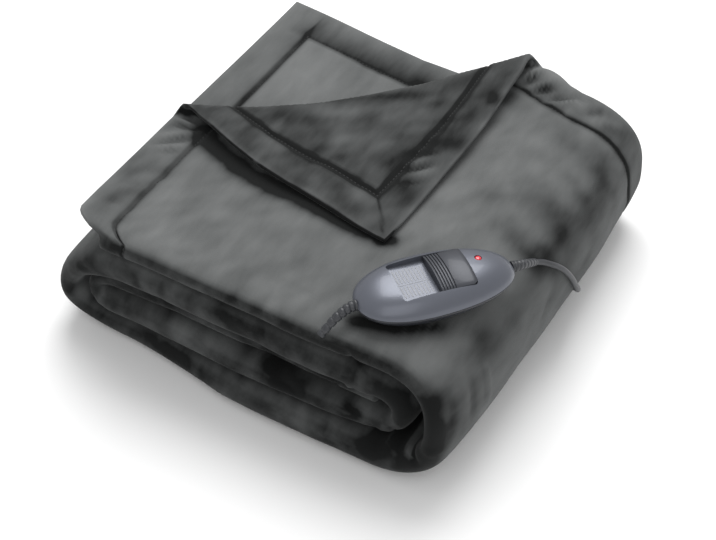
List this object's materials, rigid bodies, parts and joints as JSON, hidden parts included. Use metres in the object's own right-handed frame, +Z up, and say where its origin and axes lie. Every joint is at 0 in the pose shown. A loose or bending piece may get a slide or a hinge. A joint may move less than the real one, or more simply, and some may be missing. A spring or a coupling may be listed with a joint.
{
  "type": "electric heated blanket",
  "caption": "Folded and flat-rolled plush heated throw with one corner turned back, a hand controller with a slide switch lying on top, and its lead coiled behind.",
  "frame": {"origin": "on the floor, under the middle of the folded blanket and its controller", "axes": "+Z up; +X towards the rolled side that the lead runs over; -Y towards the long folded front edge"},
  "size_m": [0.3662, 0.4367, 0.1504],
  "materials": {
    "plush": "charcoal grey short-pile plush",
    "shell_plastic": "dark blue-grey, satin gloss",
    "slider_plastic": "dark blue-grey, satin gloss, grip ribs",
    "pilot_lens": "red translucent lens",
    "cord_rubber": "dark grey, smooth",
    "pin_metal": "nickel plated"
  },
  "bodies": {
    "stack": {"blanket": "plush", "handset_lower": "shell_plastic", "handset_upper": "shell_plastic", "pilot_light": "pilot_lens", "relief_blanket": "cord_rubber", "relief_mains": "cord_rubber", "mains_cord": "cord_rubber", "cord_coil": "cord_rubber", "plug_lead": "cord_rubber", "plug": "cord_rubber", "plug_pin_left": "pin_metal", "plug_pin_right": "pin_metal"},
    "slide_switch": {"slider": "slider_plastic"}
  },
  "joints": [
    {"name": "slider_slide", "type": "slide", "parent": "stack", "child": "slide_switch", "axis": [0.6148, 0.7869, -0.0523], "range_m": [-0.026, 0]}
  ]
}
